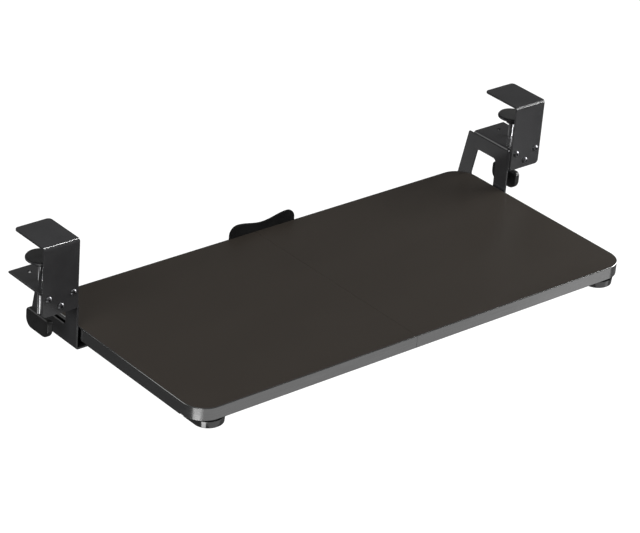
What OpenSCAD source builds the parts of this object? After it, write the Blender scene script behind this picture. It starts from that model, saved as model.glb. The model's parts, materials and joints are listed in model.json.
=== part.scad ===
// Sliding keyboard tray that clamps to the front edge of a desk.
// Units are millimetres. X runs along the desk edge, Y runs back under the desk, Z points up.
// The origin lies on the top front edge of the desk, midway between the two clamps.
// The tray is drawn pulled out. Pieces on the right are drawn directly, those on the left are mirrored.

/* [Tray] */
// Width of the tray, along the desk edge
tray_width = 650; // [560:1:800]
// Depth of the tray, front to back
tray_depth = 300; // [280:1:360]
// Thickness of the tray boards
tray_thickness = 16; // [15:0.5:25]
// Radius of the four corners seen from above
corner_radius = 28; // [10:1:40]
// Place of the seam between the two boards, counted from the middle
seam_x = -12; // [-40:1:40]
// Open joint between the two boards
seam_gap = 0.3; // [0.1:0.1:1]
// Thickness of the edge band round the boards
band_thickness = 1.2; // [0.6:0.1:2]
// Height from the desk top down to the tray top
tray_drop = 112; // [100:1:150]
// How far the rear edge of the pulled-out tray stays behind the desk edge
tray_overlap = 80; // [70:1:110]

/* [Clamp hook] */
// Width of the hook
hook_width = 48; // [40:1:70]
// Reach of the hook over the desk
hook_reach = 57; // [50:1:80]
// Height of the front plate below the desk top
hook_height = 84; // [78:1:100]
// Thickness of the hook's sheet
hook_sheet = 2.5; // [1.5:0.1:4]
// Radius of the rounded hook corners
hook_corner = 5; // [2:0.5:10]
// Space between the hook and the bracket's side plate
hook_gap = 0.5; // [0.3:0.1:2]
// Thickness of the soft pad under the hook
top_pad_thickness = 1; // [0.5:0.1:3]
// Margin of the soft pad inside the hook's top plate
top_pad_margin = 2.5; // [1:0.5:8]
// Radius of the soft pad's corners
top_pad_corner = 2.5; // [1:0.5:5]

/* [Bracket] */
// Thickness of the bracket's sheet
bracket_sheet = 2.5; // [1.5:0.1:4]
// Inner radius of the bends in the sheet pieces
bend_radius = 1; // [0.5:0.1:2]
// Height from the desk top down to the bracket's top flange
flange_drop = 55; // [50:1:60]
// Width of the bars round the opening in the side plate
bar_width = 22; // [16:1:26]
// Radius of the corners of that opening
opening_corner = 5; // [2:0.5:10]
// Free space between the tray's side and the bracket
side_gap = 2; // [1:0.5:6]
// How far the bracket's front flange stays inside the hook's edges
front_flange_margin = 1; // [0.5:0.5:3]
// How far the bracket's foot reaches behind the pulled-out tray
foot_margin = 11.5; // [8:0.5:25]
// How far the side plate reaches behind the top flange
flange_margin = 8; // [4:0.5:20]
// How far the bracket's bottom flange reaches past the roller carrier
shelf_margin = 1; // [0.5:0.5:10]
// Distance from the last flange hole to the flange's rear edge
hole_edge = 13; // [8:0.5:20]
// Diameter of the two under-desk screw holes in the top flange
desk_hole = 5; // [3:0.5:7]
// Distance between the two under-desk screw holes
desk_hole_spacing = 42; // [34:1:60]

/* [Hook fastening] */
// Diameter of the screws that hold the hook
hook_screw = 5; // [4:0.5:6]
// Diameter of their heads
hook_head = 8.5; // [7.5:0.5:10]
// Height of their heads
hook_head_height = 2.5; // [1.5:0.5:4]
// How far the screws stand out of their nuts
hook_screw_tip = 1; // [0.5:0.5:3]
// Distance between the two upper hook screws
hook_screw_spread = 33; // [24:1:38]
// Height of the upper hook screws below the top flange
hook_screw_upper = 7; // [6:0.5:9]
// Height of the lower hook screw above the hook's lower edge
hook_screw_rise = 9.5; // [7:0.5:12]
// Width across flats of the nuts behind the front flange
hook_nut_flats = 8; // [7:0.5:10]
// Height of those nuts
hook_nut_height = 4; // [3:0.5:6]

/* [Clamp screw] */
// Thickness of the desk that the clamp is drawn on
desk_thickness = 25; // [15:1:30]
// Diameter of the clamp screw
clamp_screw = 6; // [5:0.5:8]
// Distance of the clamp screw behind the desk edge
clamp_setback = 32; // [31:0.5:40]
// Shift of the clamp screw from the hook's middle, away from the tray
clamp_shift = 4; // [2:0.5:8]
// Length of the threaded part, from the plate's hub down to the end in the knob
clamp_length = 78; // [74:1:90]
// Diameter of the pressure plate
plate_diameter = 36; // [26:1:40]
// Thickness of the pressure plate
plate_thickness = 2.5; // [2.2:0.1:4]
// Diameter of the plate's hub
hub_diameter = 13; // [11:0.5:18]
// Height of the plate's hub
hub_height = 8; // [5:0.5:12]
// Thickness of the soft pad on the pressure plate
pressure_pad_thickness = 1.5; // [1:0.1:3]
// Margin of that pad inside the plate's rim
pressure_pad_margin = 1; // [0.5:0.5:4]
// Diameter of the spigot on top of the clamp screw
spigot_diameter = 4.5; // [4:0.5:5]
// Length of the spigot above its retaining ring
spigot_tip = 0.3; // [0.2:0.1:1]
// Thickness of the retaining ring on the spigot
ring_thickness = 0.8; // [0.5:0.1:1.2]
// How far the retaining ring stands out round the spigot
ring_lip = 2; // [1.5:0.1:2.5]
// Depth of the ring's groove in the spigot
groove_depth = 0.5; // [0.3:0.1:1]
// Width across flats of the weld nut
weld_nut_flats = 10; // [9:0.5:17]
// Height of the weld nut
weld_nut_height = 5; // [4:0.5:9]

/* [Wing knob] */
// Length of the wing knob from tip to tip
knob_length = 44; // [34:1:46]
// Height of the wing knob
knob_height = 24; // [24:1:30]
// Thickness of the wing knob
knob_thickness = 8; // [8:0.5:12]
// Radius of its upper corners
knob_shoulder = 5; // [2:0.5:6]
// Radius of its lower corners
knob_belly = 11.5; // [6:0.5:11.5]
// How far the clamp screw goes into the knob
knob_depth = 16; // [10:1:18]

/* [Slide] */
// Height between the tray and the bracket's bottom flange
slide_space = 9.8; // [9:0.1:14]
// Thickness of the rail's sheet
rail_sheet = 1; // [0.8:0.1:1.5]
// Distance of the rail from the tray's side
rail_inset = 9; // [5:0.5:14]
// Width of the rail's mounting flange
rail_width = 21; // [19:0.5:26]
// Width of the rail's lower lip
rail_lip = 8; // [5:0.5:8]
// Length of the stop blocks in the rail ends
stop_length = 5; // [3:0.5:10]
// Distance of the rail's rear end from the tray's rear edge
rail_rear_gap = 1; // [0.5:0.5:5]
// Distance of the rail's front end behind the foot
rail_front_gap = 2.5; // [2:0.5:10]
// Width of the rollers
roller_width = 8; // [6:0.5:8]
// Diameter of the roller axles
axle_diameter = 3.5; // [2.5:0.1:3.5]
// Diameter of the axles' collars and heads
axle_head = 5; // [4.2:0.1:5.5]
// Thickness of the axles' heads
axle_head_height = 0.8; // [0.5:0.1:1.5]
// Thickness of the axles' collars
axle_collar = 1; // [0.5:0.1:2]
// Distance of the front roller behind the bracket's front edge
front_roller_y = 10; // [9:0.5:20]
// Thickness of the roller carrier's sheet
carrier_sheet = 1.5; // [1:0.1:2]
// Width of the roller carrier's foot
carrier_width = 16; // [15:0.5:22]
// Length of the carrier past each roller
carrier_end = 8; // [5:0.5:10]
// Diameter of the carrier's screws
carrier_screw = 4; // [3:0.5:5]
// Diameter of their heads
carrier_head = 6.5; // [5.5:0.5:8]
// Height of their heads
carrier_head_height = 1.8; // [1.2:0.1:2.5]
// Distance of the carrier's screws from its ends
carrier_screw_inset = 14; // [12:0.5:20]
// Distance of the outer rail screws from the rail's ends
rail_screw_inset = 15; // [10:1:40]

/* [Joining pieces] */
// Length of the splice plates across the seam
splice_length = 100; // [80:1:140]
// Width of the splice plates
splice_width = 40; // [30:1:60]
// Thickness of the splice plates
splice_thickness = 2; // [1.5:0.5:4]
// Radius of the splice plates' corners
splice_corner = 5; // [2:0.5:9]
// Distance of the splice screws from the plates' ends
splice_screw_end = 12; // [8:1:20]
// Distance of the splice screws from the plates' long sides
splice_screw_side = 10; // [7:1:12]
// Distance of each splice plate's middle from the tray's front or rear edge
splice_inset = 60; // [45:1:80]
// Diameter of the dowels across the seam
dowel_diameter = 8; // [6:0.5:10]
// Length of the dowels
dowel_length = 40; // [20:1:50]
// Free space at each end of the dowels
dowel_end_gap = 1; // [0.5:0.5:2]
// Distance of the outer dowels from the tray's front or rear edge
dowel_inset = 30; // [20:1:60]
// Diameter of the wood screws
wood_screw = 3.5; // [3:0.1:4]
// Diameter of their heads
wood_head = 5.6; // [5:0.1:7]
// Height of their heads
wood_head_height = 1.6; // [1:0.1:2]
// Depth of the pilot holes in the boards
pilot_depth = 12; // [8:0.5:13]
// Free depth of the pilot holes past the screw tips
pilot_gap = 1; // [0.5:0.5:2]

/* [Back stop] */
// Width of the back stop
stop_width = 100; // [90:1:140]
// Thickness of the back stop
stop_sheet = 2.5; // [1.5:0.1:4]
// Height of its two lobes above the tray
stop_lobe = 15; // [13:0.5:20]
// Height of the dip between the lobes above the tray
stop_dip = 9.5; // [6:0.5:13]
// Radius of the lobes' outer corners
stop_corner = 12; // [4:0.5:12]
// Height of its lower edge above the tray's underside
stop_lift = 2; // [1:0.5:4]
// Distance between the two back stop screws
stop_screw_spread = 70; // [60:1:80]

/* [Feet] */
// Width of the feet
foot_width = 38; // [30:1:44]
// Length of the feet, front to back
foot_length = 40; // [38:1:50]
// Width of the flat front between their round front corners
foot_flat = 2; // [1:0.5:16]
// Radius of their rear corners
foot_heel = 2; // [1:0.5:6]
// Height of the feet
foot_height = 11; // [9:0.5:12]
// Height of the foot's narrower neck
foot_neck = 2; // [1:0.5:3]
// How far the neck stands back inside the foot's outline
foot_neck_inset = 2; // [1:0.5:4]
// Distance of the feet's middle from the tray's sides
foot_side_inset = 29; // [24:0.5:45]
// Distance of the feet from the tray's front edge
foot_front_inset = 0.5; // [0.5:0.5:10]
// Diameter of the foot screws
foot_screw = 4; // [3:0.5:5]
// Diameter of their heads
foot_head = 8; // [6:0.5:10]
// Height of their heads
foot_head_height = 2.4; // [1.5:0.1:4]
// Depth of the pocket that hides each head
foot_head_depth = 5; // [4:0.5:6]

/* [Clearances] */
// Radial running clearance of shafts in bores
running = 0.05; // [0.02:0.01:0.1]
// Radial clearance of screws in their holes
hole_clearance = 0.15; // [0.05:0.05:0.4]
// Radial clearance of fixed pins, dowels and screw threads
seat_clearance = 0.02; // [0.01:0.01:0.05]
// Free space round the rollers in the rail
roller_play = 0.2; // [0.1:0.05:0.3]
// Free space between the rail and the bracket's bottom flange
rail_float = 0.4; // [0.3:0.1:0.6]
// Free space between faces that slide past each other
slip = 0.5; // [0.3:0.1:0.6]

/* [Hidden] */
$fn = 48;
eps = 0.01;
hex = 6;
half_turn = 180;
curve_steps = 12;

// Proportions of a socket head: its top, its socket's width and its socket's floor
head_top = 0.7;
socket_width = 0.45;
socket_floor = 0.4;

// Colours
powder_black = [0.10, 0.10, 0.105];
board_brown = [0.13, 0.12, 0.11];
band_grey = [0.40, 0.40, 0.40];
soft_black = [0.06, 0.06, 0.06];
zinc = [0.70, 0.71, 0.73];
rail_grey = [0.30, 0.31, 0.32];
nylon_white = [0.88, 0.88, 0.85];
gloss_black = [0.03, 0.03, 0.03];
dowel_tan = [0.78, 0.62, 0.42];

// Places across the desk edge, for the right side
tray_half = tray_width / 2;
plate_inner = tray_half + side_gap;
plate_outer = plate_inner + bracket_sheet;
hook_inner = plate_outer + hook_gap;
hook_outer = hook_inner + hook_width;
hook_middle = (hook_inner + hook_outer) / 2;
clamp_x = hook_middle + clamp_shift;
bend_outer = bend_radius + bracket_sheet;

// Heights
flange_top = -flange_drop;
flange_under = flange_top - bracket_sheet;
tray_top = -tray_drop;
tray_bottom = tray_top - tray_thickness;
board_middle = (tray_top + tray_bottom) / 2;
floor_top = tray_bottom - slide_space;
bracket_bottom = floor_top - bracket_sheet;

// Roller slide, seen along the rail
rail_outer = tray_half - rail_inset;
rail_web = rail_outer - rail_sheet;
rail_flange_under = tray_bottom - rail_sheet;
rail_bottom = floor_top + rail_float;
rail_lip_top = rail_bottom + rail_sheet;
roller_diameter = rail_flange_under - rail_lip_top - 2 * roller_play;
roller_z = (rail_flange_under + rail_lip_top) / 2;
roller_outer = rail_web - slip;
roller_inner = roller_outer - roller_width;
wall_outer = roller_inner - axle_collar - 2 * running;
wall_inner = wall_outer - carrier_sheet;
wall_top = rail_flange_under - slip;
carrier_inner = wall_outer - carrier_width;
shelf_inner = carrier_inner - shelf_margin;
rail_inner = rail_outer - rail_width;

// Places from front to back
tray_rear = tray_overlap;
tray_front = tray_rear - tray_depth;
tray_middle = (tray_front + tray_rear) / 2;
foot_x = tray_half - foot_side_inset;
foot_front = tray_front + foot_front_inset;
foot_screw_y = foot_front + foot_width / 2;
foot_nose = (foot_width - foot_flat) / 2;
rail_rear = tray_rear - rail_rear_gap;
rail_front = foot_front + foot_length + rail_front_gap;
rear_roller_y = rail_rear - stop_length - slip - roller_diameter / 2;
roller_places = [front_roller_y, rear_roller_y];
carrier_front = front_roller_y - carrier_end;
carrier_rear = rear_roller_y + carrier_end;
foot_rear = tray_rear + foot_margin;
clamp_y = clamp_setback;
flange_rear = clamp_y + desk_hole_spacing / 2 + hole_edge;
side_rear = flange_rear + flange_margin;
flange_front = bracket_sheet + slip;

// Clamp screw, from the desk down
plate_top = -desk_thickness - pressure_pad_thickness;
plate_under = plate_top - plate_thickness;
hub_under = plate_under - hub_height;
spigot_end = plate_top - 2 * running;
ring_under = spigot_end - spigot_tip - ring_thickness;
ring_seat = ring_under - running;
ring_diameter = spigot_diameter + 2 * ring_lip;
groove_diameter = spigot_diameter - 2 * groove_depth;
screw_shoulder = hub_under - running;
screw_end = screw_shoulder - clamp_length;
knob_top = screw_end + knob_depth;
knob_bottom = knob_top - knob_height;

// Screws and their places
hook_screw_length = hook_sheet + bracket_sheet + hook_nut_height + hook_screw_tip;
wood_screw_reach = pilot_depth - pilot_gap;
front_flange_bottom = -hook_height + front_flange_margin;
carrier_screw_x = (carrier_inner + wall_inner) / 2;
carrier_screw_places = [carrier_front + carrier_screw_inset, carrier_rear - carrier_screw_inset];
rail_screw_x = (rail_inner + wall_inner) / 2;
rail_screw_places = [
    rail_front + rail_screw_inset, (rail_front + rail_rear) / 2, rail_rear - rail_screw_inset
];
splice_places = [tray_front + splice_inset, tray_rear - splice_inset];
splice_screw_x = splice_length / 2 - splice_screw_end;
splice_screw_y = splice_width / 2 - splice_screw_side;
dowel_places = [tray_front + dowel_inset, tray_middle, tray_rear - dowel_inset];

// Shared shapes

// Mirrors a right-hand piece to the left
module to_left() {
    mirror([1, 0, 0]) children();
}

// A straight box between two corners
module block(low, high) {
    translate(low) cube(high - low);
}

function unit(v) = v / norm(v);

// Convex outline with every corner rounded by a true arc, of one radius or of one for each corner
module rounded_outline(points, radius) {
    count = len(points);
    corners = [
        for (i = [0 : count - 1])
            let (here = points[i])
            let (back = unit(points[(i + count - 1) % count] - here))
            let (ahead = unit(points[(i + 1) % count] - here))
            let (half = acos(back * ahead) / 2)
            let (round = is_list(radius) ? radius[i] : radius)
            [here + back * round / tan(half), here + ahead * round / tan(half),
                here + unit(back + ahead) * round / sin(half), round]
    ];
    polygon([for (c = corners) each [c[0], c[1]]]);
    for (c = corners) translate(c[2]) circle(c[3]);
}

// A plate standing across X, drawn as Y and Z and given its thickness along X
module plate_across_x(x, thickness) {
    translate([x, 0, 0]) rotate([90, 0, 90]) linear_extrude(thickness) children();
}

// A plate standing across Y, drawn as X and Z and given its thickness towards the rear
module plate_across_y(y, thickness) {
    translate([0, y + thickness, 0]) rotate([90, 0, 0]) linear_extrude(thickness) children();
}

// A quarter of a bent sheet, drawn in the quadrant that quarter turns choose
module bend_section(sheet, quarter) {
    rotate(quarter * 90) intersection() {
        difference() {
            circle(bend_radius + sheet);
            circle(bend_radius);
        }
        square(bend_radius + sheet);
    }
}

// A screw with its head above z = 0, its shank below and a six-sided socket
module socket_screw(diameter, length, head, head_height) {
    difference() {
        union() {
            translate([0, 0, -length]) cylinder(d = diameter, h = length + eps);
            cylinder(d1 = head, d2 = head * head_top, h = head_height);
        }
        translate([0, 0, head_height * socket_floor])
            cylinder(d = head * socket_width, h = head_height, $fn = hex);
    }
}

// A hole for a fixed thread or pin along +Z
module seat_hole(diameter, length) {
    cylinder(r = diameter / 2 + seat_clearance, h = length);
}

// A hexagonal nut standing on z = 0
module nut(flats, height, bore_radius) {
    difference() {
        cylinder(d = flats / cos(half_turn / hex), h = height, $fn = hex);
        translate([0, 0, -eps]) cylinder(r = bore_radius, h = height + 2 * eps);
    }
}

// Clamp hook

hook_screw_places = [
    [hook_middle - hook_screw_spread / 2, flange_top - hook_screw_upper],
    [hook_middle + hook_screw_spread / 2, flange_top - hook_screw_upper],
    [hook_middle, -hook_height + hook_screw_rise]
];

// Places children at each hook screw, with their +Z turned to the front
module at_hook_screws(y) {
    for (place = hook_screw_places) translate([place[0], y, place[1]]) rotate([90, 0, 0]) children();
}

module clamp_hook() {
    hook_top = top_pad_thickness + hook_sheet;
    hook_bend = bend_radius + hook_sheet;
    bend_y = bend_radius;
    bend_z = hook_top - hook_bend;
    difference() {
        union() {
            plate_across_x(hook_inner, hook_width)
                translate([bend_y, bend_z]) bend_section(hook_sheet, 1);
            translate([0, 0, top_pad_thickness]) linear_extrude(hook_sheet) intersection() {
                rounded_outline([[hook_inner, -hook_reach], [hook_outer, -hook_reach],
                    [hook_outer, hook_reach], [hook_inner, hook_reach]], hook_corner);
                translate([hook_inner, bend_y]) square([hook_width, hook_reach]);
            }
            plate_across_y(-hook_sheet, hook_sheet) intersection() {
                rounded_outline([[hook_inner, -hook_height], [hook_outer, -hook_height],
                    [hook_outer, hook_height], [hook_inner, hook_height]], hook_corner);
                translate([hook_inner, -hook_height]) square([hook_width, hook_height + bend_z]);
            }
        }
        at_hook_screws(eps) cylinder(r = hook_screw / 2 + hole_clearance, h = hook_sheet + 2 * eps);
    }
}

module top_pad() {
    pad_front = bend_radius + top_pad_margin;
    linear_extrude(top_pad_thickness) rounded_outline([
        [hook_inner + top_pad_margin, pad_front],
        [hook_outer - top_pad_margin, pad_front],
        [hook_outer - top_pad_margin, hook_reach - top_pad_margin],
        [hook_inner + top_pad_margin, hook_reach - top_pad_margin]
    ], top_pad_corner);
}

module hook_screws() {
    at_hook_screws(-hook_sheet) socket_screw(hook_screw, hook_screw_length, hook_head, hook_head_height);
}

module hook_nuts() {
    at_hook_screws(bracket_sheet + hook_nut_height)
        nut(hook_nut_flats, hook_nut_height, hook_screw / 2 + seat_clearance);
}

// Bracket

// Rear edge of the side plate at a height
function side_rear_at(z) =
    side_rear + (foot_rear - side_rear) * (flange_top - z) / (flange_top - bracket_bottom);

module side_plate() {
    opening_top = flange_top - bar_width;
    opening_bottom = bracket_bottom + bar_width;
    difference() {
        plate_across_x(plate_inner, bracket_sheet) difference() {
            polygon([
                [0, bracket_bottom], [foot_rear, bracket_bottom],
                [side_rear, flange_top], [0, flange_top]
            ]);
            rounded_outline([
                [bar_width, opening_bottom],
                [side_rear_at(opening_bottom) - bar_width, opening_bottom],
                [side_rear_at(opening_top) - bar_width, opening_top],
                [bar_width, opening_top]
            ], opening_corner);
        }
        block([plate_inner - eps, -eps, flange_top - bend_outer],
            [plate_outer + eps, foot_rear + eps, flange_top + eps]);
        block([plate_inner - eps, -eps, bracket_bottom - eps],
            [plate_outer + eps, foot_rear + eps, bracket_bottom + bend_outer]);
        block([plate_inner - eps, -eps, front_flange_bottom], [plate_outer + eps, bend_outer, flange_top]);
    }
}

module bracket() {
    front_bend_top = flange_top - bend_outer - slip;
    difference() {
        union() {
            side_plate();
            translate([0, flange_rear, 0]) rotate([90, 0, 0])
                linear_extrude(flange_rear - bend_outer - slip)
                translate([plate_inner + bend_outer, flange_top - bend_outer])
                bend_section(bracket_sheet, 1);
            translate([0, foot_rear, 0]) rotate([90, 0, 0]) linear_extrude(foot_rear)
                translate([plate_outer - bend_outer, bracket_bottom + bend_outer])
                bend_section(bracket_sheet, 3);
            translate([0, 0, front_flange_bottom]) linear_extrude(front_bend_top - front_flange_bottom)
                translate([plate_inner + bend_outer, bend_outer]) bend_section(bracket_sheet, 2);
            block([plate_inner + bend_outer, flange_front, flange_under],
                [hook_outer, flange_rear, flange_top]);
            block([plate_inner + bend_outer, 0, front_flange_bottom],
                [hook_outer - front_flange_margin, bracket_sheet, flange_top]);
            block([shelf_inner, 0, bracket_bottom], [plate_outer - bend_outer, foot_rear, floor_top]);
        }
        translate([clamp_x, clamp_y, flange_under - eps])
            cylinder(r = clamp_screw / 2 + 2 * hole_clearance, h = bracket_sheet + 2 * eps);
        for (shift = [-desk_hole_spacing / 2, desk_hole_spacing / 2])
            translate([clamp_x, clamp_y + shift, flange_under - eps])
                cylinder(d = desk_hole, h = bracket_sheet + 2 * eps);
        at_hook_screws(bracket_sheet + eps)
            cylinder(r = hook_screw / 2 + hole_clearance, h = bracket_sheet + 2 * eps);
        for (y = carrier_screw_places)
            translate([carrier_screw_x, y, bracket_bottom - eps])
                seat_hole(carrier_screw, bracket_sheet + 2 * eps);
    }
}

module weld_nut() {
    translate([clamp_x, clamp_y, flange_under - weld_nut_height])
        nut(weld_nut_flats, weld_nut_height, clamp_screw / 2 + running);
}

// Clamp screw and pressure plate

module pressure_plate() {
    translate([clamp_x, clamp_y, 0]) difference() {
        union() {
            translate([0, 0, plate_under]) cylinder(d = plate_diameter, h = plate_thickness);
            translate([0, 0, hub_under]) cylinder(d = hub_diameter, h = hub_height + eps);
        }
        translate([0, 0, hub_under - eps])
            cylinder(r = spigot_diameter / 2 + running, h = hub_height + plate_thickness + 2 * eps);
        translate([0, 0, ring_seat])
            cylinder(r = ring_diameter / 2 + hole_clearance, h = plate_top - ring_seat + eps);
    }
}

module pressure_pad() {
    translate([clamp_x, clamp_y, plate_top])
        cylinder(r = plate_diameter / 2 - pressure_pad_margin, h = pressure_pad_thickness);
}

module retaining_ring() {
    translate([clamp_x, clamp_y, ring_under]) difference() {
        cylinder(d = ring_diameter, h = ring_thickness);
        translate([0, 0, -eps])
            cylinder(r = groove_diameter / 2 + seat_clearance, h = ring_thickness + 2 * eps);
    }
}

module clamp_screw_rod() {
    translate([clamp_x, clamp_y, 0]) {
        translate([0, 0, screw_end]) cylinder(d = clamp_screw, h = clamp_length);
        translate([0, 0, screw_shoulder - eps])
            cylinder(d = spigot_diameter, h = ring_under - screw_shoulder + eps);
        translate([0, 0, ring_under - eps]) cylinder(d = groove_diameter, h = ring_thickness + 2 * eps);
        translate([0, 0, ring_under + ring_thickness])
            cylinder(d = spigot_diameter, h = spigot_end - ring_under - ring_thickness);
    }
}

module wing_knob() {
    half = knob_length / 2;
    translate([clamp_x, clamp_y, 0]) difference() {
        plate_across_x(-knob_thickness / 2, knob_thickness) rounded_outline([
            [-half, knob_bottom], [half, knob_bottom], [half, knob_top], [-half, knob_top]
        ], [knob_belly, knob_belly, knob_shoulder, knob_shoulder]);
        translate([0, 0, screw_end - seat_clearance]) seat_hole(clamp_screw, knob_height);
    }
}

// Roller carrier, axles and rollers

module roller_carrier() {
    difference() {
        union() {
            block([carrier_inner, carrier_front, floor_top],
                [wall_outer, carrier_rear, floor_top + carrier_sheet]);
            block([wall_inner, carrier_front, floor_top], [wall_outer, carrier_rear, wall_top]);
        }
        for (y = roller_places)
            translate([wall_inner - eps, y, roller_z]) rotate([0, 90, 0])
                seat_hole(axle_diameter, carrier_sheet + 2 * eps);
        for (y = carrier_screw_places)
            translate([carrier_screw_x, y, floor_top - eps])
                cylinder(r = carrier_screw / 2 + hole_clearance, h = carrier_sheet + 2 * eps);
    }
}

module carrier_screws() {
    for (y = carrier_screw_places)
        translate([carrier_screw_x, y, floor_top + carrier_sheet])
            socket_screw(carrier_screw, carrier_sheet + bracket_sheet, carrier_head, carrier_head_height);
}

module roller_axle(y) {
    translate([0, y, roller_z]) rotate([0, 90, 0]) {
        translate([0, 0, wall_inner - axle_head_height])
            cylinder(d = axle_head, h = axle_head_height);
        translate([0, 0, wall_inner - eps])
            cylinder(d = axle_diameter, h = roller_outer - wall_inner);
        translate([0, 0, wall_outer]) cylinder(d = axle_head, h = axle_collar);
        translate([0, 0, roller_outer - axle_head_height])
            cylinder(d = axle_head, h = axle_head_height - running);
    }
}

module roller_axles() {
    for (y = roller_places) roller_axle(y);
}

module roller(y) {
    translate([0, y, roller_z]) rotate([0, 90, 0]) difference() {
        translate([0, 0, roller_inner]) cylinder(d = roller_diameter, h = roller_width);
        translate([0, 0, roller_inner - eps])
            cylinder(r = axle_diameter / 2 + running, h = roller_width + 2 * eps);
        translate([0, 0, roller_outer - axle_head_height - running])
            cylinder(r = axle_head / 2 + running, h = axle_head_height + running + eps);
    }
}

// Tray boards

// The tray seen from above, drawn in by a margin
module tray_outline(margin) {
    rounded_outline([
        [-tray_half + margin, tray_front + margin],
        [tray_half - margin, tray_front + margin],
        [tray_half - margin, tray_rear - margin],
        [-tray_half + margin, tray_rear - margin]
    ], corner_radius - margin);
}

// Everything to one side of the seam: -1 is left, 1 is right
module beside_seam(side) {
    start = seam_x + side * seam_gap / 2;
    translate([side > 0 ? start : start - tray_width, tray_front - eps])
        square([tray_width, tray_depth + 2 * eps]);
}

module at_splice_screws() {
    for (y = splice_places)
        for (dx = [-splice_screw_x, splice_screw_x])
            for (dy = [-splice_screw_y, splice_screw_y])
                translate([seam_x + dx, y + dy, tray_bottom - splice_thickness])
                    mirror([0, 0, 1]) children();
}

module at_rail_screws() {
    for (y = rail_screw_places)
        translate([rail_screw_x, y, rail_flange_under]) mirror([0, 0, 1]) children();
}

module at_feet() {
    for (side = [-1, 1]) translate([side * foot_x, foot_screw_y, tray_bottom]) children();
}

module at_stop_screws() {
    for (side = [-1, 1])
        translate([side * stop_screw_spread / 2, tray_rear + stop_sheet, board_middle])
            rotate([-90, 0, 0]) children();
}

// All pilot holes in the boards and in their edge band
module board_holes() {
    at_splice_screws() translate([0, 0, -pilot_depth - splice_thickness - eps])
        seat_hole(wood_screw, pilot_depth + splice_thickness);
    at_rail_screws() translate([0, 0, -pilot_depth - rail_sheet - eps])
        seat_hole(wood_screw, pilot_depth + rail_sheet);
    to_left() at_rail_screws() translate([0, 0, -pilot_depth - rail_sheet - eps])
        seat_hole(wood_screw, pilot_depth + rail_sheet);
    at_stop_screws() translate([0, 0, -pilot_depth - stop_sheet - eps])
        seat_hole(wood_screw, pilot_depth + stop_sheet);
    at_feet() translate([0, 0, -eps]) seat_hole(foot_screw, pilot_depth + eps);
    for (y = dowel_places)
        translate([seam_x - dowel_length / 2, y, board_middle]) rotate([0, 90, 0])
            seat_hole(dowel_diameter, dowel_length);
}

module panel(side) {
    difference() {
        translate([0, 0, tray_bottom]) linear_extrude(tray_thickness) intersection() {
            tray_outline(band_thickness);
            beside_seam(side);
        }
        board_holes();
    }
}

module edge_band(side) {
    difference() {
        translate([0, 0, tray_bottom]) linear_extrude(tray_thickness) intersection() {
            difference() {
                tray_outline(0);
                tray_outline(band_thickness);
            }
            beside_seam(side);
        }
        board_holes();
    }
}

// Rails under the tray

module rail() {
    difference() {
        union() {
            block([rail_inner, rail_front, rail_flange_under], [rail_outer, rail_rear, tray_bottom]);
            block([rail_web, rail_front, rail_bottom], [rail_outer, rail_rear, tray_bottom]);
            block([rail_outer - rail_lip, rail_front, rail_bottom], [rail_outer, rail_rear, rail_lip_top]);
        }
        at_rail_screws() translate([0, 0, -rail_sheet - eps])
            cylinder(r = wood_screw / 2 + hole_clearance, h = rail_sheet + 2 * eps);
    }
}

module rail_screws() {
    at_rail_screws() socket_screw(wood_screw, wood_screw_reach + rail_sheet, wood_head, wood_head_height);
}

module rail_stops() {
    for (y = [rail_front, rail_rear - stop_length])
        block([rail_outer - rail_lip, y, rail_lip_top], [rail_web, y + stop_length, rail_flange_under]);
}

// Pieces across the seam

module splice_plate(y) {
    difference() {
        translate([seam_x, y, tray_bottom - splice_thickness]) linear_extrude(splice_thickness)
            rounded_outline([
                [-splice_length / 2, -splice_width / 2], [splice_length / 2, -splice_width / 2],
                [splice_length / 2, splice_width / 2], [-splice_length / 2, splice_width / 2]
            ], splice_corner);
        at_splice_screws() translate([0, 0, -splice_thickness - eps])
            cylinder(r = wood_screw / 2 + hole_clearance, h = splice_thickness + 2 * eps);
    }
}

module splice_screw_set() {
    at_splice_screws()
        socket_screw(wood_screw, wood_screw_reach + splice_thickness, wood_head, wood_head_height);
}

module dowel_set() {
    for (y = dowel_places)
        translate([seam_x - dowel_length / 2 + dowel_end_gap, y, board_middle]) rotate([0, 90, 0])
            cylinder(d = dowel_diameter, h = dowel_length - 2 * dowel_end_gap);
}

// Back stop

stop_half = stop_width / 2;
lobe_x = stop_half - stop_corner;

// Right half of the stop's top edge: a cosine from the dip to the lobe, then a round corner
stop_edge = concat(
    [for (i = [0 : curve_steps])
        [lobe_x * i / curve_steps,
            stop_dip + (stop_lobe - stop_dip) * (1 - cos(half_turn * i / curve_steps)) / 2]],
    [for (i = [1 : curve_steps / 2])
        let (turn = 90 * i / (curve_steps / 2))
        [lobe_x + stop_corner * sin(turn), stop_lobe - stop_corner * (1 - cos(turn))]]
);

module stop_plate() {
    last = len(stop_edge) - 1;
    stop_bottom = -tray_thickness + stop_lift;
    difference() {
        plate_across_y(tray_rear, stop_sheet) translate([0, tray_top]) polygon(concat(
            [[-stop_half, stop_bottom], [stop_half, stop_bottom]],
            [for (i = [last : -1 : 0]) stop_edge[i]],
            [for (i = [1 : last]) [-stop_edge[i][0], stop_edge[i][1]]]
        ));
        at_stop_screws() translate([0, 0, -stop_sheet - eps])
            cylinder(r = wood_screw / 2 + hole_clearance, h = stop_sheet + 2 * eps);
    }
}

module stop_screw_set() {
    at_stop_screws()
        socket_screw(wood_screw, wood_screw_reach + stop_sheet, wood_head, wood_head_height);
}

// Feet

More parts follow.
